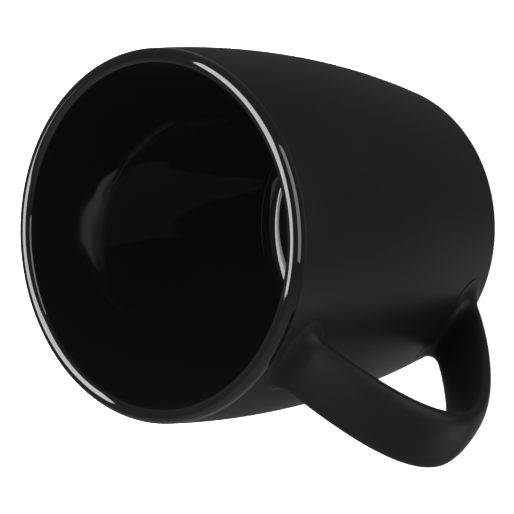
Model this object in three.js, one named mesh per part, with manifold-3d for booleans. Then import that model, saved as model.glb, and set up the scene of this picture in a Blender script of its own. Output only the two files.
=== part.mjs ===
// A ceramic mug: a stoneware body with a foot ring, a strap handle luted on with slip at both ends,
// a matte glaze outside, and a gloss glaze inside that hooks over the lip.
//
// Millimetres, +Z up. The foot stands on z = 0 and the handle points along +X. The whole mug is
// moved at the end so that the origin is the middle of its footprint's bounding box.
//
// Turned pieces are drawn as outlines of [radius, height] points about the mug's own axis.

import * as THREE from "three";
import { LoftGeometry } from "three/addons/geometries/LoftGeometry.js";
import { mergeVertices } from "three/addons/utils/BufferGeometryUtils.js";
import Module from "manifold-3d";

const wasm = await Module();
wasm.setup();

// ---------------------------------------------------------------- driving dimensions

// Outside of the glazed mug.
const HEIGHT = 92;
const BELLY_RADIUS = 44.75; // the widest place of the wall
const BELLY_HEIGHT = 68.2;
const LIP_RADIUS = 43.9; // outside, where the lip's half round begins
const LIP_THICKNESS = 3.9; // diameter of the lip's half round
const LOWER_WALL_ARC = 308; // radius of the wall's curve between the belly and the foot
const FOOT_CORNER = 3.2; // radius of the round between the wall and the foot's flat

// Inside of the glazed mug. It tapers to the floor more than the outside does.
const FLOOR_HEIGHT = 6.8;
const FLOOR_RADIUS = 32.65; // where the inner wall's line would meet the floor
const FLOOR_CORNER = 5; // radius of the round between the wall and the floor
const HOLLOW_BULGE = 2; // how far the inner wall bows out of a straight taper, at the middle

// Foot ring.
const FOOT_WIDTH = 4.2;
const RECESS_HEIGHT = 2.4; // the hollow inside the ring
const RECESS_CORNER = 1.2;

// Glazes.
const GLAZE = 0.45; // thickness of each glaze
const GLOSS_EDGE_DEPTH = 2.85; // the gloss glaze ends this far below the rim, outside
const FOOT_WIPE_ANGLE = THREE.MathUtils.degToRad(50); // the matte glaze is wiped off the foot below this
const RECESS_GLAZE_MARGIN = 2.2; // bare clay left round the glaze in the recess
const GAP = 0.3; // between neighbouring pieces

// Handle: a strap of rounded section along two curves that meet upright at its furthest point.
const UPPER_ROOT_HEIGHT = 80.9;
const UPPER_ROOT_DROP = THREE.MathUtils.degToRad(17.3); // below level, where it leaves the wall
const UPPER_ROOT_PULL = 20; // how far the strap holds that direction
const TIP_RADIUS = 74.8; // the strap's centre line at its furthest from the axis
const TIP_HEIGHT = 54.1;
const TIP_PULL_UP = 12.4;
const TIP_PULL_DOWN = 13;
const LOWER_ROOT_HEIGHT = 9.4;
const LOWER_ROOT_RISE = THREE.MathUtils.degToRad(30); // above level, where it leaves the wall
const LOWER_ROOT_PULL = 13.8;
const UPPER_WIDTH = 15.1;
const LOWER_WIDTH = 18;
const UPPER_STRAP = 5.8; // thickness
const LOWER_STRAP = 6.8;
const STRAP_SQUARENESS = 2.2; // 2 is an ellipse
const ROOT_DEPTH = 1.6; // the curves start this far inside the wall
const ROOT_RUN = 4; // and run straight on into it for this much, before they are cut back

// Slip that joins the handle to the body, smoothed into a fillet all round the strap. It is widest on
// one side of the strap: outer is the side away from the finger hole, and inner faces the hole.
const UPPER_FILLET = { outer: 4, inner: 3 };
const LOWER_FILLET = { outer: 2.8, inner: 6 };
const SLIP_PAD = 0.8; // slip between the wall and the end of the strap

// How finely curves are cut into flats.
const TURN_SEGMENTS = 48;
const LIP_STEPS = 6;
const LOWER_WALL_STEPS = 6;
const UPPER_WALL_STEPS = 2;
const HOLLOW_STEPS = 6;
const CORNER_STEPS = 5;
const FOOT_STEPS = 3;
const STRAP_STATIONS = 14; // along each of the strap's two curves
const STATION_CROWDING = 1.6; // over 1, the stations crowd towards the wall
const ROOT_STATIONS = 10; // stations at each end that a slip joint is made from
const STRAP_SIDES = 16;
const WELD_DISTANCE = 1e-4; // corners closer than this are one corner

// ---------------------------------------------------------------- worked out from them

const LIP_ROUND = LIP_THICKNESS / 2;
const LIP_CENTRE_HEIGHT = HEIGHT - LIP_ROUND;
const LIP_CENTRE_RADIUS = LIP_RADIUS - LIP_ROUND;
const GLOSS_EDGE_HEIGHT = HEIGHT - GLOSS_EDGE_DEPTH;
const CLAY_INSET = GLAZE + GAP; // clay lies this far under the glazed surface

// The upper wall is an arc, upright at the belly, through the start of the lip.
const UPPER_RISE = LIP_CENTRE_HEIGHT - BELLY_HEIGHT;
const UPPER_SPREAD = BELLY_RADIUS - LIP_RADIUS;
const UPPER_WALL_ARC = (UPPER_RISE ** 2 + UPPER_SPREAD ** 2) / (2 * UPPER_SPREAD);

// The foot's round is tangent to the lower wall and to the plane that the mug stands on.
const LOWER_ARC_AXIS = BELLY_RADIUS - LOWER_WALL_ARC;
const FOOT_DROP = BELLY_HEIGHT - FOOT_CORNER;
const FOOT_RADIUS = LOWER_ARC_AXIS + Math.sqrt((LOWER_WALL_ARC - FOOT_CORNER) ** 2 - FOOT_DROP ** 2);
const LOWER_WALL_ANGLE = Math.atan2(FOOT_DROP, FOOT_RADIUS - LOWER_ARC_AXIS);
const FOOT_INNER_RADIUS = FOOT_RADIUS - FOOT_WIDTH;

// ---------------------------------------------------------------- outlines

function arc(radius, height, size, from, to, steps) {
  const points = [];
  for (let i = 0; i <= steps; i += 1) {
    const angle = THREE.MathUtils.lerp(from, to, i / steps);
    points.push([radius + size * Math.cos(angle), height + size * Math.sin(angle)]);
  }
  return points;
}

function wallRadius(height) {
  const size = height > BELLY_HEIGHT ? UPPER_WALL_ARC : LOWER_WALL_ARC;
  return BELLY_RADIUS - size + Math.sqrt(size ** 2 - (height - BELLY_HEIGHT) ** 2);
}

// A straight taper from the lip to the floor, bowed out by a parabola.
function hollowRadius(height) {
  const down = (LIP_CENTRE_HEIGHT - height) / (LIP_CENTRE_HEIGHT - FLOOR_HEIGHT);
  const taper = THREE.MathUtils.lerp(LIP_RADIUS - LIP_THICKNESS, FLOOR_RADIUS, down);
  return taper + HOLLOW_BULGE * 4 * down * (1 - down);
}

// Outside of the mug, from the foot's round up to the lip, moved inwards by inset.
function footRound(inset, from, to, steps) {
  return arc(FOOT_RADIUS, FOOT_CORNER, FOOT_CORNER - inset, from, to, steps);
}

function outerWall(inset, topHeight) {
  const lowerSize = LOWER_WALL_ARC - inset;
  const lower = arc(LOWER_ARC_AXIS, BELLY_HEIGHT, lowerSize, -LOWER_WALL_ANGLE, 0, LOWER_WALL_STEPS);
  const upperSize = UPPER_WALL_ARC - inset;
  const topAngle = Math.asin((topHeight - BELLY_HEIGHT) / UPPER_WALL_ARC);
  const upperAxis = BELLY_RADIUS - UPPER_WALL_ARC;
  const upper = arc(upperAxis, BELLY_HEIGHT, upperSize, 0, topAngle, UPPER_WALL_STEPS);
  return [...lower, ...upper.slice(1)];
}

function lip(inset) {
  return arc(LIP_CENTRE_RADIUS, LIP_CENTRE_HEIGHT, LIP_ROUND - inset, 0, Math.PI, LIP_STEPS);
}

// Inside of the mug, from below the lip to the axis, moved into the clay by inset.
function hollow(inset) {
  const sample = FLOOR_HEIGHT + FLOOR_CORNER;
  const slope = Math.atan((hollowRadius(sample + GAP) - hollowRadius(sample - GAP)) / (2 * GAP));
  const wallEnd = FLOOR_HEIGHT + FLOOR_CORNER * (1 - Math.sin(slope));
  const cornerRadius = hollowRadius(wallEnd) - FLOOR_CORNER * Math.cos(slope);
  const cornerHeight = FLOOR_HEIGHT + FLOOR_CORNER;
  const points = [];
  for (let i = 1; i < HOLLOW_STEPS; i += 1) {
    const height = THREE.MathUtils.lerp(LIP_CENTRE_HEIGHT, wallEnd, i / HOLLOW_STEPS);
    points.push([hollowRadius(height) + inset, height]);
  }
  const size = FLOOR_CORNER + inset;
  points.push(...arc(cornerRadius, cornerHeight, size, -slope, -Math.PI / 2, CORNER_STEPS));
  points.push([0, FLOOR_HEIGHT - inset]);
  return points;
}

// ---------------------------------------------------------------- solids

function turn(outline) {
  const points = outline.map(([radius, height]) => new THREE.Vector2(Math.max(radius, 0), height));
  const geometry = new THREE.LatheGeometry(points, TURN_SEGMENTS);
  geometry.rotateX(Math.PI / 2);
  return geometry;
}

function solid(geometry) {
  const bare = new THREE.BufferGeometry();
  bare.setAttribute("position", geometry.getAttribute("position"));
  bare.setIndex(geometry.getIndex());
  const merged = mergeVertices(bare, WELD_DISTANCE);
  return new wasm.Manifold(
    new wasm.Mesh({
      numProp: 3,
      vertProperties: new Float32Array(merged.attributes.position.array),
      triVerts: new Uint32Array(merged.index.array),
    }),
  );
}

function geometryOf(manifold) {
  const mesh = manifold.getMesh();
  const geometry = new THREE.BufferGeometry();
  geometry.setAttribute("position", new THREE.BufferAttribute(mesh.vertProperties, 3));
  geometry.setIndex(new THREE.BufferAttribute(mesh.triVerts, 1));
  geometry.computeVertexNormals();
  return geometry;
}

// Everything inside the glazed wall's outer surface, swollen by grow.
function wallCore(grow) {
  const outline = [
    [0, -grow],
    ...footRound(-grow, -Math.PI / 2, -LOWER_WALL_ANGLE, FOOT_STEPS),
    ...outerWall(-grow, LIP_CENTRE_HEIGHT).slice(1),
    [0, LIP_CENTRE_HEIGHT],
  ];
  return solid(turn(outline));
}

// ---------------------------------------------------------------- handle

function strapPoint(radius, height) {
  return new THREE.Vector3(radius, 0, height);
}

function strapCurves() {
  const tip = strapPoint(TIP_RADIUS, TIP_HEIGHT);
  const upperRoot = strapPoint(wallRadius(UPPER_ROOT_HEIGHT) - ROOT_DEPTH, UPPER_ROOT_HEIGHT);
  const lowerRoot = strapPoint(wallRadius(LOWER_ROOT_HEIGHT) - ROOT_DEPTH, LOWER_ROOT_HEIGHT);
  const upperPull = strapPoint(Math.cos(UPPER_ROOT_DROP), -Math.sin(UPPER_ROOT_DROP));
  const lowerPull = strapPoint(Math.cos(LOWER_ROOT_RISE), Math.sin(LOWER_ROOT_RISE));
  return [
    new THREE.CubicBezierCurve3(
      upperRoot,
      upperRoot.clone().addScaledVector(upperPull, UPPER_ROOT_PULL),
      strapPoint(TIP_RADIUS, TIP_HEIGHT + TIP_PULL_UP),
      tip,
    ),
    new THREE.CubicBezierCurve3(
      tip,
      strapPoint(TIP_RADIUS, TIP_HEIGHT - TIP_PULL_DOWN),
      lowerRoot.clone().addScaledVector(lowerPull, LOWER_ROOT_PULL),
      lowerRoot,
    ),
  ];
}

// A share of a curve's length, crowded towards its start, or towards its end on the second curve.
function crowded(share, half) {
  return half === 0 ? share ** STATION_CROWDING : 1 - (1 - share) ** STATION_CROWDING;
}

// Stations along the strap's centre line: place, direction, and 0 to 1 from the upper to the lower
// root, with one more at each end, deeper in the wall.
function strapStations() {
  const [upper, lower] = strapCurves();
  const lengths = [upper.getLength(), lower.getLength()];
  const stations = [];
  [upper, lower].forEach((curve, half) => {
    for (let i = half; i <= STRAP_STATIONS; i += 1) {
      const u = crowded(i / STRAP_STATIONS, half);
      const travelled = half * lengths[0] + u * lengths[half];
      stations.push({
        place: curve.getPointAt(u),
        direction: curve.getTangentAt(u),
        along: travelled / (lengths[0] + lengths[1]),
      });
    }
  });
  const first = stations[0];
  const last = stations[stations.length - 1];
  return [
    { ...first, place: first.place.clone().addScaledVector(first.direction, -ROOT_RUN) },
    ...stations,
    { ...last, place: last.place.clone().addScaledVector(last.direction, ROOT_RUN) },
  ];
}

// A quarter-round fillet's width at a distance from the wall: its full radius at the wall, then less.
function filletWidth(distance, radius) {
  const away = THREE.MathUtils.clamp(distance, 0, radius);
  return radius - Math.sqrt(radius ** 2 - (radius - away) ** 2);
}

// The strap's section at a station, swollen by grow, and flared by the fillet where it nears the wall.
function strapSection(station, grow, fillet) {
  const across = new THREE.Vector3(0, 1, 0);
  const outwards = new THREE.Vector3().crossVectors(across, station.direction).negate();
  const halfStrap = THREE.MathUtils.lerp(UPPER_STRAP, LOWER_STRAP, station.along) / 2;
  const halfWidth = THREE.MathUtils.lerp(UPPER_WIDTH, LOWER_WIDTH, station.along) / 2;
  const power = 2 / STRAP_SQUARENESS;
  const section = [];
  for (let i = 0; i < STRAP_SIDES; i += 1) {
    const angle = (-2 * Math.PI * i) / STRAP_SIDES;
    const c = Math.sign(Math.cos(angle)) * Math.abs(Math.cos(angle)) ** power;
    const s = Math.sign(Math.sin(angle)) * Math.abs(Math.sin(angle)) ** power;
    const normal = new THREE.Vector2(c / halfStrap, s / halfWidth).normalize();
    const side = station.place
      .clone()
      .addScaledVector(outwards, halfStrap * c)
      .addScaledVector(across, halfWidth * s);
    const distance = Math.hypot(side.x, side.y) - wallRadius(THREE.MathUtils.clamp(side.z, 0, HEIGHT));
    const radius = fillet ? THREE.MathUtils.mapLinear(c, -1, 1, fillet.inner, fillet.outer) : 0;
    const push = grow + filletWidth(distance, radius);
    section.push(side.addScaledVector(outwards, push * normal.x).addScaledVector(across, push * normal.y));
  }
  return section;
}

function strap(stations, grow, fillet = null) {
  const sections = stations.map((station) => strapSection(station, grow, fillet));
  return solid(new LoftGeometry(sections, { capStart: true, capEnd: true }));
}

// Slip between the strap's end and the wall, with the fillet that is smoothed round it.
function slipJoint(rootStations, fillet) {
  const strapEnd = strap(stations, GAP).subtract(wallCore(SLIP_PAD - GLAZE));
  return strap(rootStations, 0, fillet).subtract(wallCore(-GLAZE)).subtract(strapEnd);
}

// ---------------------------------------------------------------- pieces

const stations = strapStations();
const upperStations = stations.slice(0, ROOT_STATIONS);
const lowerStations = stations.slice(-ROOT_STATIONS);

function mugBody() {
  const recessRadius = FOOT_INNER_RADIUS - RECESS_CORNER;
  return turn([
    [0, RECESS_HEIGHT],
    ...arc(recessRadius, RECESS_HEIGHT - RECESS_CORNER, RECESS_CORNER, Math.PI / 2, 0, FOOT_STEPS),
    [FOOT_INNER_RADIUS, 0],
    ...footRound(0, -Math.PI / 2, -FOOT_WIPE_ANGLE, FOOT_STEPS),
    ...footRound(CLAY_INSET, -FOOT_WIPE_ANGLE, -LOWER_WALL_ANGLE, FOOT_STEPS),
    ...outerWall(CLAY_INSET, LIP_CENTRE_HEIGHT).slice(1),
    ...lip(CLAY_INSET).slice(1),
    ...hollow(CLAY_INSET),
  ]);
}

function linerGlaze() {
  const outside = [wallRadius(GLOSS_EDGE_HEIGHT), GLOSS_EDGE_HEIGHT];
  const underside = [outside[0] - GLAZE, GLOSS_EDGE_HEIGHT];
  return turn([
    ...[underside, outside],
    ...lip(0),
    ...hollow(0),
    ...hollow(GLAZE).reverse(),
    ...lip(GLAZE).reverse(),
    underside,
  ]);
}

function outerGlaze() {
  const topHeight = GLOSS_EDGE_HEIGHT - GAP;
  const outside = [
    ...footRound(0, -FOOT_WIPE_ANGLE, -LOWER_WALL_ANGLE, FOOT_STEPS),
    ...outerWall(0, topHeight).slice(1),
  ];
  const inside = [
    ...footRound(GLAZE, -FOOT_WIPE_ANGLE, -LOWER_WALL_ANGLE, FOOT_STEPS),
    ...outerWall(GLAZE, topHeight).slice(1),
  ];
  const sleeve = solid(turn([...outside, ...inside.reverse(), outside[0]]));
  const cut = sleeve
    .subtract(strap(upperStations, GAP, UPPER_FILLET))
    .subtract(strap(lowerStations, GAP, LOWER_FILLET));
  return geometryOf(cut);
}

function recessGlaze() {
  const radius = FOOT_INNER_RADIUS - RECESS_GLAZE_MARGIN;
  const top = RECESS_HEIGHT - GAP;
  return turn([
    [0, top - GLAZE],
    [radius - GLAZE, top - GLAZE],
    [radius, top - GLAZE / 2],
    [radius, top],
    [0, top],
  ]);
}

function handle() {
  return geometryOf(strap(stations, 0).subtract(wallCore(SLIP_PAD - GLAZE + GAP)));
}

// ---------------------------------------------------------------- the mug

const stoneware = { color: 0x9c8f80, roughness: 0.85, metalness: 0 };
const matteBlack = { color: 0x242526, roughness: 0.5, metalness: 0 };
const glossBlack = { color: 0x0b0b0c, roughness: 0.08, metalness: 0 };

const mug = new THREE.Group();

function addPiece(name, geometry, finish) {
  const mesh = new THREE.Mesh(geometry, new THREE.MeshStandardMaterial(finish));
  mesh.name = name;
  mug.add(mesh);
}

addPiece("mug_body", mugBody(), stoneware);
addPiece("liner_glaze", linerGlaze(), glossBlack);
addPiece("outer_glaze", outerGlaze(), matteBlack);
addPiece("recess_glaze", recessGlaze(), matteBlack);
addPiece("handle", handle(), matteBlack);
addPiece("upper_slip_joint", geometryOf(slipJoint(upperStations, UPPER_FILLET)), matteBlack);
addPiece("lower_slip_joint", geometryOf(slipJoint(lowerStations, LOWER_FILLET)), matteBlack);

const footprint = new THREE.Box3().setFromObject(mug);
mug.position.x = -(footprint.min.x + footprint.max.x) / 2;

export default mug;
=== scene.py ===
"""Looks of the ceramic mug: turned clay and glazes, a smooth strap handle, and a plain studio."""

import math

import bpy
import numpy as np
from mathutils import Matrix, Vector


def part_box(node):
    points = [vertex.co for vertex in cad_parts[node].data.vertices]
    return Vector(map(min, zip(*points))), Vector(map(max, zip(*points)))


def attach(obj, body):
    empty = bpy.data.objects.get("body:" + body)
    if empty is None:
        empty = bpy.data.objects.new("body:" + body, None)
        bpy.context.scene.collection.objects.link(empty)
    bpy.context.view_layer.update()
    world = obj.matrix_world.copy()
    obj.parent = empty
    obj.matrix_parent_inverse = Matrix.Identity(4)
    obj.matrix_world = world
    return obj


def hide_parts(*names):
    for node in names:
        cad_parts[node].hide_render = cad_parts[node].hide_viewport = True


MM = 0.001

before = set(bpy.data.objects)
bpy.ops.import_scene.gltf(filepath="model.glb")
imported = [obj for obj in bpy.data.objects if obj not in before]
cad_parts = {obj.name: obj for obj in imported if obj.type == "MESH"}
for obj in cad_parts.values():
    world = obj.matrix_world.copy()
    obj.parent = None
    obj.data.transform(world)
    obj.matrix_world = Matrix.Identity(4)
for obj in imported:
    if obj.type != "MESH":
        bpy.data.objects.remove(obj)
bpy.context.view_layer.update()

# ---------------------------------------------------------------- sizes, from the frame, in mm

body_low, body_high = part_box("mug_body")
liner_low, liner_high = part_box("liner_glaze")
outer_low, outer_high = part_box("outer_glaze")
recess_low, recess_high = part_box("recess_glaze")

AXIS = (body_low.x + body_high.x) / 2  # the mug's own axis, in x, in metres
CAD_GAP = 0.3  # between neighbouring pieces of the CAD
HEIGHT = liner_high.z / MM
BELLY_RADIUS = (outer_high.x - outer_low.x) / 2 / MM
BELLY_HEIGHT = 68.2
LIP_RADIUS = 43.9
LIP_THICKNESS = 3.9
LOWER_WALL_ARC = 308.0
FOOT_CORNER = 3.2
GLAZE = 0.45
FLOOR_HEIGHT = liner_low.z / MM + GLAZE
FLOOR_RADIUS = 32.65
FLOOR_CORNER = 5.0
HOLLOW_BULGE = 2.0
FOOT_WIDTH = 4.2
FOOT_EDGE = 0.35  # rounding of the foot ring's inner edge
RECESS_HEIGHT = recess_high.z / MM + CAD_GAP
RECESS_CORNER = 1.2
RECESS_RADIUS = (recess_high.x - recess_low.x) / 2 / MM
RECESS_GLAZE_DROP = 0.05  # how far the recess's glaze hangs under the clay
RECESS_GLAZE_EDGE = 0.22  # rounding of its edge
GLOSS_EDGE = HEIGHT - 2.85  # height of the line between gloss and matte, outside
GLOSS_EDGE_ROUND = 0.12
TUCK = 0.25  # how far the matte glaze runs on under the gloss one
DIP = 0.07  # how far it sinks in there
DIP_RUN = 0.35  # height over which it sinks
FOOT_WIPE = math.radians(50)
CLAY_INSET = 0.75
CLAY_WALL_START = 1.0  # height above the foot's corner where the clay's wall starts

LIP_ROUND = LIP_THICKNESS / 2
LIP_CENTRE_HEIGHT = HEIGHT - LIP_ROUND
LIP_CENTRE_RADIUS = LIP_RADIUS - LIP_ROUND
UPPER_RISE = LIP_CENTRE_HEIGHT - BELLY_HEIGHT
UPPER_SPREAD = BELLY_RADIUS - LIP_RADIUS
UPPER_WALL_ARC = (UPPER_RISE**2 + UPPER_SPREAD**2) / (2 * UPPER_SPREAD)
FOOT_DROP = BELLY_HEIGHT - FOOT_CORNER
LOWER_ARC_AXIS = BELLY_RADIUS - LOWER_WALL_ARC
FOOT_RADIUS = LOWER_ARC_AXIS + math.sqrt((LOWER_WALL_ARC - FOOT_CORNER) ** 2 - FOOT_DROP**2)
LOWER_WALL_ANGLE = math.atan2(FOOT_DROP, FOOT_RADIUS - LOWER_ARC_AXIS)
FOOT_INNER_RADIUS = FOOT_RADIUS - FOOT_WIDTH

SEGMENTS = 256  # round a turned piece
FLAT_RINGS = 8  # in a flat disc, from the axis to its rim
HOLLOW_ROWS = 60
SLOPE_REACH = 0.5  # half the height over which a slope is measured
ON_AXIS = 1e-6  # a smaller radius counts as 0


def wall_radius(height):
    size = np.where(np.asarray(height) > BELLY_HEIGHT, UPPER_WALL_ARC, LOWER_WALL_ARC)
    return BELLY_RADIUS - size + np.sqrt(size**2 - (np.asarray(height) - BELLY_HEIGHT) ** 2)


def wall_slope(height):
    """How fast the wall's radius grows with height."""
    size = np.where(np.asarray(height) > BELLY_HEIGHT, UPPER_WALL_ARC, LOWER_WALL_ARC)
    rise = np.asarray(height) - BELLY_HEIGHT
    return -rise / np.sqrt(size**2 - rise**2)


def hollow_radius(height):
    """Radius of the inside: a taper from the lip to the floor that bows outwards in the middle."""
    down = (LIP_CENTRE_HEIGHT - height) / (LIP_CENTRE_HEIGHT - FLOOR_HEIGHT)
    taper = LIP_RADIUS - LIP_THICKNESS + (FLOOR_RADIUS - LIP_RADIUS + LIP_THICKNESS) * down
    return taper + HOLLOW_BULGE * 4 * down * (1 - down)


def smooth(x):
    x = min(max(x, 0.0), 1.0)
    return x * x * (3 - 2 * x)


# ---------------------------------------------------------------- turned pieces


def arc(radius, height, size, start, end, steps):
    angles = np.linspace(start, end, steps + 1)
    return [(radius + size * math.cos(a), height + size * math.sin(a)) for a in angles]


def flat(radius, height):
    """Points of a flat disc between its axis and its rim, from the axis out."""
    return [(radius * k / FLAT_RINGS, height) for k in range(1, FLAT_RINGS)]


def wall_line(inset, low, high, steps):
    """The wall's outside from one height to another, moved inwards."""
    heights = np.linspace(low, high, steps + 1)
    slopes = wall_slope(heights)
    scale = 1 / np.sqrt(1 + slopes**2)
    return list(zip(wall_radius(heights) - inset * scale, heights + inset * slopes * scale))


def foot_round(inset, start, end, steps):
    return arc(FOOT_RADIUS, FOOT_CORNER, FOOT_CORNER - inset, start, end, steps)


def lip(inset, steps):
    return arc(LIP_CENTRE_RADIUS, LIP_CENTRE_HEIGHT, LIP_ROUND - inset, 0, math.pi, steps)


def hollow(inset):
    """The inside, from under the lip to the axis, moved into the clay."""
    corner_top = FLOOR_HEIGHT + FLOOR_CORNER
    wider = hollow_radius(corner_top + SLOPE_REACH) - hollow_radius(corner_top - SLOPE_REACH)
    slope = math.atan(wider / (2 * SLOPE_REACH))
    wall_end = FLOOR_HEIGHT + FLOOR_CORNER * (1 - math.sin(slope))
    corner_radius = hollow_radius(wall_end) - FLOOR_CORNER * math.cos(slope)
    heights = np.linspace(LIP_CENTRE_HEIGHT, wall_end, HOLLOW_ROWS + 1)[1:-1]
    points = [(float(hollow_radius(h)) + inset, h) for h in heights]
    size = FLOOR_CORNER + inset
    points += arc(corner_radius, corner_top, size, -slope, -math.pi / 2, steps=24)
    reach = points[-1][0]
    rings = range(1, FLAT_RINGS + 1)
    points += [(reach * (1 - k / FLAT_RINGS), FLOOR_HEIGHT - inset) for k in rings]
    return points


def link(name, mesh):
    piece = bpy.data.objects.new(name, mesh)
    bpy.context.scene.collection.objects.link(piece)
    return piece


def turned(name, outline):
    """A closed solid turned about the mug's axis. Points at radius 0 are welded into one."""
    vertices, faces, rows = [], [], []
    for radius, height in outline:
        if radius < ON_AXIS:
            rows.append([len(vertices)] * SEGMENTS)
            vertices.append((AXIS, 0.0, height * MM))
            continue
        first = len(vertices)
        rows.append([first + k for k in range(SEGMENTS)])
        for k in range(SEGMENTS):
            angle = 2 * math.pi * k / SEGMENTS
            x = AXIS + radius * math.cos(angle) * MM
            vertices.append((x, radius * math.sin(angle) * MM, height * MM))
    pairs = list(zip(rows, rows[1:]))
    if outline[0][0] > ON_AXIS:
        pairs.append((rows[-1], rows[0]))
    for low, high in pairs:
        if low[0] == low[1] and high[0] == high[1]:
            continue
        for k in range(SEGMENTS):
            n = (k + 1) % SEGMENTS
            corners = (low[k], low[n], high[n], high[k])
            faces.append(tuple(dict.fromkeys(corners)))
    mesh = bpy.data.meshes.new(name)
    mesh.from_pydata(vertices, [], faces)
    mesh.validate()
    mesh.polygons.foreach_set("use_smooth", [True] * len(mesh.polygons))
    return link(name, mesh)


def clay_piece():
    flat_radius = FOOT_INNER_RADIUS - RECESS_CORNER
    corner_height = RECESS_HEIGHT - RECESS_CORNER
    outline = [(0, RECESS_HEIGHT)] + flat(flat_radius, RECESS_HEIGHT)
    outline += arc(flat_radius, corner_height, RECESS_CORNER, math.pi / 2, 0, steps=12)
    edge_radius = FOOT_INNER_RADIUS + FOOT_EDGE
    outline += arc(edge_radius, FOOT_EDGE, FOOT_EDGE, math.pi, 1.5 * math.pi, steps=6)
    outline += foot_round(0, -math.pi / 2, -FOOT_WIPE, steps=10)
    outline += foot_round(CLAY_INSET, -FOOT_WIPE, -LOWER_WALL_ANGLE, steps=8)
    wall_start = FOOT_CORNER + CLAY_WALL_START
    outline += wall_line(CLAY_INSET, wall_start, LIP_CENTRE_HEIGHT, steps=60)
    outline += lip(CLAY_INSET, steps=20)[1:]
    outline += hollow(CLAY_INSET)
    return turned("mug_body_clay", outline)


def liner_piece():
    """The gloss glaze: inside, over the lip, and a little way down the outside to a round edge."""
    edge_height = GLOSS_EDGE + GLOSS_EDGE_ROUND
    edge_radius = float(wall_radius(edge_height)) - GLOSS_EDGE_ROUND
    outline = [(edge_radius - GLAZE + GLOSS_EDGE_ROUND, GLOSS_EDGE)]
    outline += arc(edge_radius, edge_height, GLOSS_EDGE_ROUND, -math.pi / 2, 0, steps=6)
    outline += lip(0, steps=48)
    outline += hollow(0)
    outline += hollow(GLAZE)[::-1]
    outline += lip(GLAZE, steps=24)[::-1]
    return turned("liner_gloss_glaze", outline)


def outer_piece():
    """The matte glaze outside. It dips under the gloss glaze's edge and thins out at the foot."""
    top = GLOSS_EDGE + TUCK
    foot = foot_round(0, -FOOT_WIPE, -LOWER_WALL_ANGLE, steps=16)
    low = foot[-1][1]
    wall = wall_line(0, low, top, steps=160)[1:]
    dip = [(r - DIP * smooth((h - GLOSS_EDGE + DIP_RUN) / DIP_RUN), h) for r, h in wall]
    inside = wall_line(GLAZE, low, top, steps=60)
    inner_foot = foot_round(GLAZE, -FOOT_WIPE, -LOWER_WALL_ANGLE, steps=8)
    outline = foot + dip + inside[:0:-1] + inner_foot[::-1]
    return turned("outer_matte_glaze", outline)


def recess_piece():
    top = RECESS_HEIGHT - RECESS_GLAZE_DROP
    edge_radius = RECESS_RADIUS - RECESS_GLAZE_EDGE
    edge_height = top - RECESS_GLAZE_EDGE
    outline = [(0, top - GLAZE)] + flat(RECESS_RADIUS, top - GLAZE)
    quarter = math.pi / 2
    outline += arc(edge_radius, edge_height, RECESS_GLAZE_EDGE, -quarter, quarter, steps=8)
    outline += flat(RECESS_RADIUS, top)[::-1] + [(0, top)]
    return turned("recess_matte_glaze", outline)


# ---------------------------------------------------------------- handle

UPPER_ROOT_HEIGHT = 80.9
UPPER_ROOT_DROP = math.radians(17.3)
UPPER_ROOT_PULL = 20.0
TIP_RADIUS = 74.8
TIP_HEIGHT = 54.1
TIP_PULL_UP = 12.4
TIP_PULL_DOWN = 13.0
LOWER_ROOT_HEIGHT = 9.4
LOWER_ROOT_RISE = math.radians(30)
LOWER_ROOT_PULL = 13.8
UPPER_WIDTH = 15.1
LOWER_WIDTH = 18.0
UPPER_STRAP = 5.8
LOWER_STRAP = 6.8
STRAP_SQUARENESS = 2.2
ROOT_DEPTH = 1.6
ROOT_RUN = 8.0
UPPER_FILLET = {"outer": 4.0, "inner": 3.0}
LOWER_FILLET = {"outer": 2.8, "inner": 6.0}
UPPER_JOINT_LENGTH = 12.0  # along the strap, from its end to where the joint stops
LOWER_JOINT_LENGTH = 16.0
SKIRT = ((0.9, 0.1), (0.03, 0.25))  # each hidden row: how far under the wall and how far out

SIDES = 112
FILLET_ROWS = 22
NECK_ROWS = 6
STRAP_ROWS = 150
CURVE_STEPS = 600
DIRECTION_REACH = 0.6  # half the length over which the strap's direction is measured
ROOT_SEARCH = 34  # length along the strap that is searched for the fillet's edge
ROOT_SAMPLES = 900


def bezier(points, t):
    a, b, c, d = np.array(points)
    t = t[:, None]
    return (1 - t) ** 3 * a + 3 * (1 - t) ** 2 * t * b + 3 * (1 - t) * t**2 * c + t**3 * d


def centre_line():
    """Points (radius, height) along the strap's middle, run straight on into the wall."""
    upper = np.array([float(wall_radius(UPPER_ROOT_HEIGHT)) - ROOT_DEPTH, UPPER_ROOT_HEIGHT])
    lower = np.array([float(wall_radius(LOWER_ROOT_HEIGHT)) - ROOT_DEPTH, LOWER_ROOT_HEIGHT])
    tip = np.array([TIP_RADIUS, TIP_HEIGHT])
    upper_pull = np.array([math.cos(UPPER_ROOT_DROP), -math.sin(UPPER_ROOT_DROP)])
    lower_pull = np.array([math.cos(LOWER_ROOT_RISE), math.sin(LOWER_ROOT_RISE)])
    t = np.linspace(0, 1, CURVE_STEPS)
    above = bezier([upper, upper + upper_pull * UPPER_ROOT_PULL, tip + [0, TIP_PULL_UP], tip], t)
    below = bezier([tip, tip - [0, TIP_PULL_DOWN], lower + lower_pull * LOWER_ROOT_PULL, lower], t)
    line = np.vstack([above, below[1:]])
    travelled = np.concatenate([[0], np.cumsum(np.hypot(*np.diff(line, axis=0).T))])
    total = travelled[-1]
    line = np.vstack([upper - upper_pull * ROOT_RUN, line, lower - lower_pull * ROOT_RUN])
    travelled = np.concatenate([[-ROOT_RUN], travelled, [total + ROOT_RUN]])
    return travelled, line, total


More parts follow.
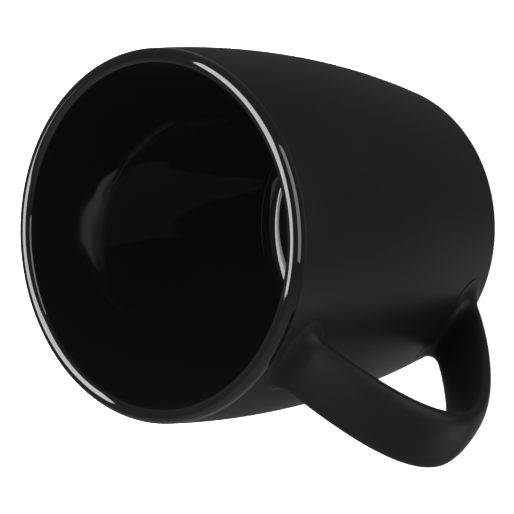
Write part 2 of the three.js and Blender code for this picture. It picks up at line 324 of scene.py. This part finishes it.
TRAVELLED, LINE, STRAP_LENGTH = centre_line()
ANGLES = 2 * np.pi * np.arange(SIDES) / SIDES
POWER = 2 / STRAP_SQUARENESS
ROUND_COS = np.sign(np.cos(ANGLES)) * np.abs(np.cos(ANGLES)) ** POWER
ROUND_SIN = np.sign(np.sin(ANGLES)) * np.abs(np.sin(ANGLES)) ** POWER


def unit(vectors):
    return vectors / np.linalg.norm(vectors, axis=-1, keepdims=True)


def middle(travel):
    """Points (radius, height) of the strap's middle at distances along it."""
    return np.stack([np.interp(travel, TRAVELLED, LINE[:, k]) for k in (0, 1)], -1)


def strap_point(travel, side):
    """Points of the strap's skin, and its normals, at distances along it and places round it."""
    direction = unit(middle(travel + DIRECTION_REACH) - middle(travel - DIRECTION_REACH))
    outwards = np.stack([-direction[..., 1], direction[..., 0]], -1)
    share = np.clip(travel / STRAP_LENGTH, 0, 1)
    half_strap = (UPPER_STRAP + (LOWER_STRAP - UPPER_STRAP) * share) / 2
    half_width = (UPPER_WIDTH + (LOWER_WIDTH - UPPER_WIDTH) * share) / 2
    c, s = ROUND_COS[side], ROUND_SIN[side]
    place = middle(travel) + outwards * (half_strap * c)[..., None]
    point = np.stack([place[..., 0], half_width * s, place[..., 1]], -1)
    bulge = unit(np.stack([c / half_strap, s / half_width], -1))
    out, across = bulge[..., 0], bulge[..., 1]
    normal = np.stack([outwards[..., 0] * out, across, outwards[..., 1] * out], -1)
    return point, normal


def wall_normal(point):
    across = np.hypot(point[..., 0], point[..., 1])
    slope = wall_slope(np.clip(point[..., 2], 0, HEIGHT))
    return unit(np.stack([point[..., 0] / across, point[..., 1] / across, -slope], -1))


def clearance(point):
    """Distance from the wall's outside."""
    height = np.clip(point[..., 2], 0, HEIGHT)
    gap = np.hypot(point[..., 0], point[..., 1]) - wall_radius(height)
    return gap / np.sqrt(1 + wall_slope(height) ** 2)


def from_top(inward):
    """Distance along the strap of a place so far in from its upper end."""
    return inward


def from_bottom(inward):
    """Distance along the strap of a place so far in from its lower end."""
    return STRAP_LENGTH - inward


def joint_rows(travel_of, fillet, length):
    """Rows of points from the wall out along the strap: a fillet that meets both smoothly."""
    sides = np.arange(SIDES)
    radius = fillet["inner"] + (fillet["outer"] - fillet["inner"]) * (ROUND_COS + 1) / 2
    samples = np.linspace(-ROOT_RUN, ROOT_SEARCH, ROOT_SAMPLES)
    every_travel = np.repeat(travel_of(samples)[:, None], SIDES, 1)
    every_side = np.repeat(sides[None], ROOT_SAMPLES, 0)
    skin, _ = strap_point(every_travel, every_side)
    gaps = np.maximum.accumulate(clearance(skin), axis=0)

    def inward_at(gap):
        return np.array([np.interp(gap[k], gaps[:, k], samples) for k in sides])

    rows = []
    for turn in np.linspace(0, math.pi / 2, FILLET_ROWS + 1):
        inward = inward_at(radius * (1 - math.cos(turn)))
        point, normal = strap_point(travel_of(inward), sides)
        away = wall_normal(point)
        along = unit(normal - (normal * away).sum(-1, keepdims=True) * away)
        rows.append(point + along * (radius * (1 - math.sin(turn)))[:, None])
    start = inward_at(radius)
    for k in range(1, NECK_ROWS + 1):
        inward = start + (length - start) * k / NECK_ROWS
        rows.append(strap_point(travel_of(inward), sides)[0])
    return rows


def skirt_rows(rim):
    """Rows that carry the fillet's rim on under the wall's surface."""
    away = wall_normal(rim)
    out = rim - rim.mean(0)
    out -= (out * away).sum(-1, keepdims=True) * away
    out = unit(out)
    return np.array([rim - away * depth + out * spread for depth, spread in SKIRT])


def grid_normals(grid):
    """Normals of rows that close round on themselves; the first and last lie on the wall."""
    along = np.gradient(grid, axis=0)
    around = np.roll(grid, -1, axis=1) - np.roll(grid, 1, axis=1)
    normals = unit(np.cross(along, around))
    for row in (0, -1):
        normals[row] = wall_normal(grid[row])
    return normals


def shell_piece(name, grid, normals):
    """A closed solid of rows of points, shaded with given normals, with flat ends."""
    rows = len(grid)
    on_mug = np.array([AXIS, 0, 0])
    vertices = [tuple(p) for p in (grid.reshape(-1, 3) * MM + on_mug)]
    faces = []
    for r in range(rows - 1):
        low, high = r * SIDES, (r + 1) * SIDES
        for k in range(SIDES):
            n = (k + 1) % SIDES
            faces.append((low + k, high + k, high + n, low + n))
    side_count = len(faces)
    for row, flip in ((0, False), (rows - 1, True)):
        centre = len(vertices)
        vertices.append(tuple(grid[row].mean(0) * MM + on_mug))
        for k in range(SIDES):
            n = (k + 1) % SIDES
            corner = (row * SIDES + k, row * SIDES + n, centre)
            faces.append(corner[::-1] if flip else corner)
    mesh = bpy.data.meshes.new(name)
    mesh.from_pydata(vertices, [], faces)
    mesh.update()
    mesh.polygons.foreach_set("use_smooth", [True] * len(mesh.polygons))
    skin_normals = normals.reshape(-1, 3)
    loop_normals = []
    for polygon in mesh.polygons:
        face_normal = tuple(polygon.normal)
        on_side = polygon.index < side_count
        for v in polygon.vertices:
            loop_normals.append(tuple(skin_normals[v]) if on_side else face_normal)
    mesh.normals_split_custom_set(loop_normals)
    return link(name, mesh)


def handle_pieces():
    upper = joint_rows(from_top, UPPER_FILLET, UPPER_JOINT_LENGTH)
    lower = joint_rows(from_bottom, LOWER_FILLET, LOWER_JOINT_LENGTH)
    strap_end = STRAP_LENGTH - LOWER_JOINT_LENGTH
    travel = np.linspace(UPPER_JOINT_LENGTH, strap_end, STRAP_ROWS + 1)[1:-1]
    sides = np.arange(SIDES)
    strap = [strap_point(np.full(SIDES, t), sides)[0] for t in travel]
    skin = np.array(upper + strap + lower[::-1])
    normals = grid_normals(skin)
    joint = len(upper)
    hidden = len(SKIRT)
    upper_grid = np.vstack([skirt_rows(skin[0]), skin[:joint]])
    upper_normals = np.vstack([np.repeat(normals[:1], hidden, 0), normals[:joint]])
    lower_grid = np.vstack([skin[-joint:], skirt_rows(skin[-1])[::-1]])
    lower_normals = np.vstack([normals[-joint:], np.repeat(normals[-1:], hidden, 0)])
    between = slice(joint - 1, len(skin) - joint + 1)
    return (
        shell_piece("upper_joint_slip", upper_grid, upper_normals),
        shell_piece("strap_handle", skin[between], normals[between]),
        shell_piece("lower_joint_slip", lower_grid, lower_normals),
    )


# ---------------------------------------------------------------- finishes

PAINTED_GLOW = 0.002  # a faint painted glow that the glazes emit, standing in for stray light; it keeps the blacks from going fully black
MATTE_IOR = 1.19  # low, for a glaze whose fine roughness swallows most of its reflection
GLASS_IOR = 1.5
MATTE_COLOURS = ((0.0052, 0.0052, 0.0054), (0.0068, 0.0068, 0.0071))
GLOSS_COLOURS = ((0.0024, 0.0024, 0.0026), (0.0034, 0.0034, 0.0037))
CLAY_COLOURS = ((0.27, 0.215, 0.16), (0.36, 0.30, 0.235))
SPECK_COLOUR = (0.10, 0.07, 0.045, 1)
BLACK_TO_WHITE = ((0, 0, 0), (1, 1, 1))


class Nodes:
    """A small helper that adds and wires shader nodes."""

    def __init__(self, name):
        self.material = bpy.data.materials.new(name)
        self.material.use_nodes = True
        self.tree = self.material.node_tree
        self.shader = self.tree.nodes["Principled BSDF"]
        # white colour of the painted glow that the glazes emit
        self.shader.inputs["Emission Color"].default_value = (1, 1, 1, 1)
        self.place = self.add("ShaderNodeTexCoord").outputs["Object"]

    def add(self, kind, **values):
        node = self.tree.nodes.new(kind)
        for key, value in values.items():
            if hasattr(node, key):
                setattr(node, key, value)
            else:
                node.inputs[key.replace("_", " ")].default_value = value
        return node

    def wire(self, start, end):
        self.tree.links.new(start, end)

    def noise(self, scale, detail, rough=0.5):
        node = self.add("ShaderNodeTexNoise", Scale=scale, Detail=detail, Roughness=rough)
        self.wire(self.place, node.inputs["Vector"])
        return node.outputs["Fac"]

    def spread(self, value, low, high):
        """A number that goes from low to high over the middle of the noise."""
        node = self.add("ShaderNodeMapRange", From_Min=0.3, From_Max=0.7, To_Min=low, To_Max=high)
        self.wire(value, node.inputs["Value"])
        return node.outputs["Result"]

    def tint(self, value, colours, start=0.3, end=0.7):
        node = self.add("ShaderNodeValToRGB")
        for element, place, colour in zip(node.color_ramp.elements, (start, end), colours):
            element.position = place
            element.color = (*colour, 1)
        self.wire(value, node.inputs["Fac"])
        return node.outputs["Color"]

    def bump(self, height, strength, distance, below=None):
        node = self.add("ShaderNodeBump", Strength=strength, Distance=distance)
        self.wire(height, node.inputs["Height"])
        if below is not None:
            self.wire(below, node.inputs["Normal"])
        return node.outputs["Normal"]

    def finish(self, colour, rough, normal, **fixed):
        self.wire(colour, self.shader.inputs["Base Color"])
        self.wire(rough, self.shader.inputs["Roughness"])
        self.wire(normal, self.shader.inputs["Normal"])
        for key, value in fixed.items():
            self.shader.inputs[key.replace("_", " ")].default_value = value
        return self.material


def matte_glaze():
    n = Nodes("matte_black_glaze")
    cloud = n.noise(scale=45, detail=3)
    grain = n.noise(scale=1400, detail=2, rough=0.6)
    pores = n.noise(scale=3600, detail=1)
    colour = n.tint(cloud, MATTE_COLOURS)
    rough = n.spread(cloud, low=0.40, high=0.46)
    soft = n.bump(cloud, strength=0.12, distance=0.0006)
    fine = n.bump(grain, strength=0.14, distance=0.00005, below=soft)
    normal = n.bump(pores, strength=0.10, distance=0.00002, below=fine)
    # the matte glaze emits half the painted glow
    return n.finish(colour, rough, normal, IOR=MATTE_IOR, Emission_Strength=PAINTED_GLOW / 2)


def gloss_glaze():
    n = Nodes("gloss_black_glaze")
    cloud = n.noise(scale=30, detail=2)
    ripple = n.noise(scale=70, detail=1)
    colour = n.tint(cloud, GLOSS_COLOURS)
    rough = n.spread(cloud, low=0.03, high=0.05)
    normal = n.bump(ripple, strength=0.10, distance=0.0006)
    # the gloss glaze emits the full painted glow
    return n.finish(colour, rough, normal, IOR=GLASS_IOR, Emission_Strength=PAINTED_GLOW)


def bare_clay():
    n = Nodes("bare_stoneware")
    cloud = n.noise(scale=60, detail=4)
    grain = n.noise(scale=900, detail=3, rough=0.7)
    speck = n.noise(scale=2400, detail=1)
    colour = n.tint(cloud, CLAY_COLOURS)
    specks = n.tint(speck, BLACK_TO_WHITE, start=0.66, end=0.72)
    mix = n.add("ShaderNodeMix", data_type="RGBA")
    n.wire(specks, mix.inputs["Factor"])
    n.wire(colour, mix.inputs["A"])
    mix.inputs["B"].default_value = SPECK_COLOUR
    rough = n.spread(cloud, low=0.78, high=0.9)
    normal = n.bump(grain, strength=0.35, distance=0.00015)
    return n.finish(mix.outputs["Result"], rough, normal, IOR=GLASS_IOR)


# ---------------------------------------------------------------- the mug

MATTE, GLOSS, CLAY = matte_glaze(), gloss_glaze(), bare_clay()


def fit(piece, material, node):
    piece.data.materials.append(material)
    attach(piece, "root")
    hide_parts(node)


upper_joint, strap, lower_joint = handle_pieces()
fit(clay_piece(), CLAY, "mug_body")
fit(liner_piece(), GLOSS, "liner_glaze")
outer_wall, recess = outer_piece(), recess_piece()
fit(outer_wall, MATTE, "outer_glaze")
fit(recess, MATTE, "recess_glaze")
fit(strap, MATTE, "handle")
fit(upper_joint, MATTE, "upper_slip_joint")
fit(lower_joint, MATTE, "lower_slip_joint")

# ---------------------------------------------------------------- camera

CAMERA_AZIMUTH = math.radians(42.895)  # direction from the mug to the camera, about +Z from +X
CAMERA_ELEVATION = math.radians(50.71)
CAMERA_ROLL = math.radians(-93.61)
CAMERA_DISTANCE = 0.50084
AIM = Vector((AXIS + 0.001838, -0.006875, 0.048727))
SENSOR_WIDTH = 36
FOCAL_LENGTH = 140.078
NEAREST = 0.01

back = Vector(
    (
        math.cos(CAMERA_ELEVATION) * math.cos(CAMERA_AZIMUTH),
        math.cos(CAMERA_ELEVATION) * math.sin(CAMERA_AZIMUTH),
        math.sin(CAMERA_ELEVATION),
    )
)
level = Vector((0, 0, 1)).cross(back).normalized()
right = Matrix.Rotation(CAMERA_ROLL, 3, back) @ level
up = back.cross(right)

camera = bpy.data.objects.new("camera", bpy.data.cameras.new("camera"))
bpy.context.scene.collection.objects.link(camera)
camera.data.sensor_width = SENSOR_WIDTH
camera.data.lens = FOCAL_LENGTH
camera.data.clip_start = NEAREST
facing = Matrix((right, up, back)).transposed().to_4x4()
camera.matrix_world = Matrix.Translation(AIM + back * CAMERA_DISTANCE) @ facing
bpy.context.scene.camera = camera

# ---------------------------------------------------------------- studio

LAMP_DISTANCE = 0.9
ENERGY_PER_AREA = 4  # a lamp's energy for each square metre and each unit of brightness
ROOM_LOW = (0.12, 0.42)  # place from down (0) to up (1) in the picture, and the grey there
ROOM_HIGH = (0.34, 0.14)
FLOOR_EDGE = 1.2  # radius of the floor's flat part
DOME_RADIUS = 3.0
FLOOR_DROP = 0.0002  # just under the foot, so that the two faces do not coincide
FLOOR_SEGMENTS = 64
FLOOR_RINGS = 12
CURVE_RINGS = 15
FLOOR_GLOW = 0.85


def direction(azimuth, elevation):
    """A direction seen from the mug: azimuth 0 is towards the camera, positive to its right."""
    a, e = math.radians(azimuth), math.radians(elevation)
    ahead = right * (math.sin(a) * math.cos(e)) + up * math.sin(e)
    return ahead + back * (math.cos(a) * math.cos(e))


def softbox(name, azimuth, elevation, width, height, brightness, lean=0):
    """A rectangular lamp that faces the mug, as bright per area as asked."""
    lamp = bpy.data.lights.new(name, "AREA")
    lamp.shape = "RECTANGLE"
    lamp.size, lamp.size_y = width, height
    lamp.energy = brightness * ENERGY_PER_AREA * width * height
    box = bpy.data.objects.new(name, lamp)
    bpy.context.scene.collection.objects.link(box)
    out = direction(azimuth, elevation)
    side = up.cross(out).normalized()
    facing_mug = Matrix((side, out.cross(side), out)).transposed()
    turn = facing_mug @ Matrix.Rotation(math.radians(lean), 3, "Z")
    box.matrix_world = Matrix.Translation(AIM + out * LAMP_DISTANCE) @ turn.to_4x4()
    box.visible_camera = False
    return box


def light_only(pieces, boxes):
    """Let these lamps light these pieces and nothing else."""
    lit = bpy.data.collections.new("matte_pieces")
    for piece in pieces:
        lit.objects.link(piece)
    for box in boxes:
        box.light_linking.receiver_collection = lit


def surroundings():
    """A dim room that gets paler towards the table, at the bottom of the picture."""
    world = bpy.data.worlds.new("studio")
    bpy.context.scene.world = world
    world.use_nodes = True
    tree = world.node_tree
    place = tree.nodes.new("ShaderNodeTexCoord")
    height = tree.nodes.new("ShaderNodeVectorMath")
    height.operation = "DOT_PRODUCT"
    height.inputs[1].default_value = up
    tree.links.new(place.outputs["Generated"], height.inputs[0])
    shift = tree.nodes.new("ShaderNodeMapRange")
    shift.inputs["From Min"].default_value = -1
    tree.links.new(height.outputs["Value"], shift.inputs["Value"])
    ramp = tree.nodes.new("ShaderNodeValToRGB")
    tree.links.new(shift.outputs["Result"], ramp.inputs["Fac"])
    for element, (position, grey) in zip(ramp.color_ramp.elements, (ROOM_LOW, ROOM_HIGH)):
        element.position = position
        element.color = (grey, grey, grey, 1)
    tree.links.new(ramp.outputs["Color"], tree.nodes["Background"].inputs["Color"])


def floor_outline():
    """Points (radius, height) of the flat floor, the cove that lifts it, and the dome above."""
    cove = DOME_RADIUS - FLOOR_EDGE
    turns = np.linspace(0, math.pi / 2, CURVE_RINGS + 1)[1:]
    points = [(FLOOR_EDGE * k / FLOOR_RINGS, -FLOOR_DROP) for k in range(FLOOR_RINGS + 1)]
    points += [(FLOOR_EDGE + cove * math.sin(a), cove * (1 - math.cos(a))) for a in turns]
    points += [(DOME_RADIUS * math.cos(a), cove + DOME_RADIUS * math.sin(a)) for a in turns]
    return points


def stage():
    """A white floor that curves up into a dome. Only the camera sees it: it lights nothing."""
    outline = floor_outline()
    vertices, faces = [], []
    for radius, height in outline:
        for k in range(FLOOR_SEGMENTS):
            angle = 2 * math.pi * k / FLOOR_SEGMENTS
            vertices.append((radius * math.cos(angle), radius * math.sin(angle), height))
    for i in range(len(outline) - 1):
        low, high = i * FLOOR_SEGMENTS, (i + 1) * FLOOR_SEGMENTS
        for k in range(FLOOR_SEGMENTS):
            n = (k + 1) % FLOOR_SEGMENTS
            faces.append((low + k, low + n, high + n, high + k))
    mesh = bpy.data.meshes.new("floor")
    mesh.from_pydata(vertices, [], faces)
    mesh.polygons.foreach_set("use_smooth", [True] * len(faces))
    floor = link("floor", mesh)
    floor.visible_glossy = False
    floor.visible_diffuse = False
    floor.visible_shadow = False
    material = bpy.data.materials.new("floor_white")
    material.use_nodes = True
    shader = material.node_tree.nodes["Principled BSDF"]
    shader.inputs["Base Color"].default_value = (0.8, 0.8, 0.8, 1)
    shader.inputs["Roughness"].default_value = 1.0
    shader.inputs["Specular IOR Level"].default_value = 0.0
    shader.inputs["Emission Color"].default_value = (1, 1, 1, 1)
    shader.inputs["Emission Strength"].default_value = FLOOR_GLOW
    mesh.materials.append(material)


softbox(
    "softbox_left", azimuth=-51.5, elevation=14, width=0.67, height=0.84, brightness=9.0, lean=-18
)
softbox("softbox_right", azimuth=47, elevation=15, width=0.70, height=1.0, brightness=3.0)
glows = [
    softbox("glow_low", azimuth=140, elevation=-14, width=1.5, height=0.42, brightness=0.24),
    softbox("glow_high", azimuth=140, elevation=50, width=1.2, height=0.8, brightness=0.05),
    softbox("glow_near", azimuth=88, elevation=-38, width=0.6, height=0.5, brightness=1.8),
]
light_only([outer_wall, recess, strap, upper_joint, lower_joint], glows)
surroundings()
stage()
bpy.context.scene.view_settings.view_transform = "Standard"
